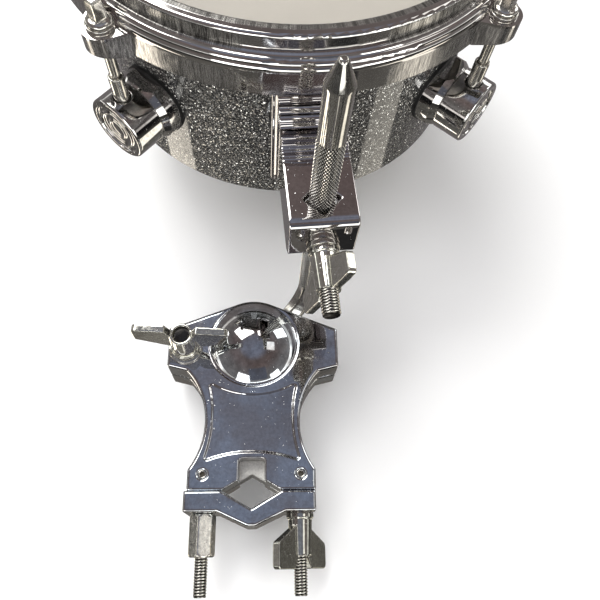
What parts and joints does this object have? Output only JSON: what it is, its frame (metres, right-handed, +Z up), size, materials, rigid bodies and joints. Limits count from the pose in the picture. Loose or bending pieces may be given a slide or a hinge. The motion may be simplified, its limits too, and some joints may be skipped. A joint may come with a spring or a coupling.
{
  "type": "tom tom drum",
  "caption": "Small single-headed tom tom with a glitter shell, chromed hoop and turret lugs, carried on an L-rod by a ball-jointed tube clamp.",
  "frame": {"origin": "middle of the clamp's tube hole, half way through the clamp's thickness", "axes": "+Z up along the stand tube, +Y along the clamp from the tube hole towards the ball and the drum, +X to the right"},
  "size_m": [0.2253, 0.4111, 0.1985],
  "materials": {
    "shell_finish": "dark pewter glitter under clear lacquer",
    "head_film": "coated off-white film",
    "hoop_aluminium": "satin",
    "rubber": "matt",
    "nylon": "smooth",
    "hoop_chrome": "polished",
    "lug_chrome": "polished",
    "bracket_chrome": "polished",
    "clamp_chrome": "polished cast",
    "rod_chrome": "polished and knurled",
    "wing_nut_chrome": "polished cast",
    "nickel": "satin nickel",
    "screw_steel": "zinc and chrome plate"
  },
  "bodies": {
    "clamp": {"clamp_top_casting": "clamp_chrome", "clamp_bottom_casting": "clamp_chrome", "ear_bolt": "screw_steel", "ear_washer": "screw_steel", "jaw_pins": "screw_steel", "jaw_bolt_left": "screw_steel", "jaw_bolt_right": "screw_steel"},
    "ear_wing_nut": {"ear_wing_nut": "wing_nut_chrome"},
    "jaw": {"jaw": "clamp_chrome"},
    "jaw_hex_nut": {"jaw_hex_nut": "nickel"},
    "jaw_wing_nut": {"jaw_wing_nut": "wing_nut_chrome"},
    "arm": {"l_rod": "rod_chrome", "ball": "nylon"},
    "drum": {"shell": "shell_finish", "drumhead": "head_film", "flesh_hoop": "hoop_aluminium", "counter_hoop": "hoop_chrome", "tension_rod_washers": "screw_steel", "lug_screws": "screw_steel", "lug_washers": "screw_steel", "bracket_gasket": "rubber", "bracket_body": "bracket_chrome", "bracket_inner_plate": "screw_steel", "bracket_bolts": "screw_steel", "bracket_eyebolt": "screw_steel", "bracket_washer": "screw_steel", "lug_gasket_1": "rubber", "lug_gasket_2": "rubber", "lug_gasket_3": "rubber", "lug_gasket_4": "rubber", "lug_base_1": "lug_chrome", "lug_base_2": "lug_chrome", "lug_base_3": "lug_chrome", "lug_base_4": "lug_chrome", "lug_turret_1": "lug_chrome", "lug_turret_2": "lug_chrome", "lug_turret_3": "lug_chrome", "lug_turret_4": "lug_chrome", "lug_swivel_nut_1": "screw_steel", "lug_swivel_nut_2": "screw_steel", "lug_swivel_nut_3": "screw_steel", "lug_swivel_nut_4": "screw_steel"},
    "bracket_wing_nut": {"bracket_wing_nut": "wing_nut_chrome"},
    "tension_rod_1": {"tension_rod_1": "screw_steel"},
    "tension_rod_2": {"tension_rod_2": "screw_steel"},
    "tension_rod_3": {"tension_rod_3": "screw_steel"},
    "tension_rod_4": {"tension_rod_4": "screw_steel"}
  },
  "joints": [
    {"name": "arm_swivel", "type": "hinge", "parent": "clamp", "child": "arm", "pos_m": [0, 0.072, 0], "axis": [0, 0, 1], "range_deg": [-6, 40]},
    {"name": "drum_height", "type": "slide", "parent": "arm", "child": "drum", "axis": [0, 0, 1], "range_m": [-0.03, 0.05]},
    {"name": "jaw_slide", "type": "slide", "parent": "clamp", "child": "jaw", "axis": [0, -1, 0], "range_m": [0, 0.012]},
    {"name": "ear_wing_nut_turn", "type": "hinge", "parent": "clamp", "child": "ear_wing_nut", "pos_m": [-0.034, 0.0687, 0.028], "axis": [0, 0, 1], "continuous": true},
    {"name": "jaw_hex_nut_turn", "type": "hinge", "parent": "jaw", "child": "jaw_hex_nut", "pos_m": [-0.023, -0.018, 0], "axis": [0, -1, 0], "continuous": true},
    {"name": "jaw_wing_nut_turn", "type": "hinge", "parent": "jaw", "child": "jaw_wing_nut", "pos_m": [0.023, -0.018, 0], "axis": [0, -1, 0], "continuous": true},
    {"name": "bracket_wing_nut_turn", "type": "hinge", "parent": "drum", "child": "bracket_wing_nut", "pos_m": [0.03055, 0.07909, 0.0845], "axis": [0.0872, -0.9962, 0], "continuous": true},
    {"name": "tension_rod_1_turn", "type": "hinge", "parent": "drum", "child": "tension_rod_1", "pos_m": [0.10492, 0.17821, 0.12], "axis": [0, 0, 1], "continuous": true},
    {"name": "tension_rod_2_turn", "type": "hinge", "parent": "drum", "child": "tension_rod_2", "pos_m": [0.0905, 0.34305, 0.12], "axis": [0, 0, 1], "continuous": true},
    {"name": "tension_rod_3_turn", "type": "hinge", "parent": "drum", "child": "tension_rod_3", "pos_m": [-0.07433, 0.32863, 0.12], "axis": [0, 0, 1], "continuous": true},
    {"name": "tension_rod_4_turn", "type": "hinge", "parent": "drum", "child": "tension_rod_4", "pos_m": [-0.05991, 0.16379, 0.12], "axis": [0, 0, 1], "continuous": true}
  ]
}
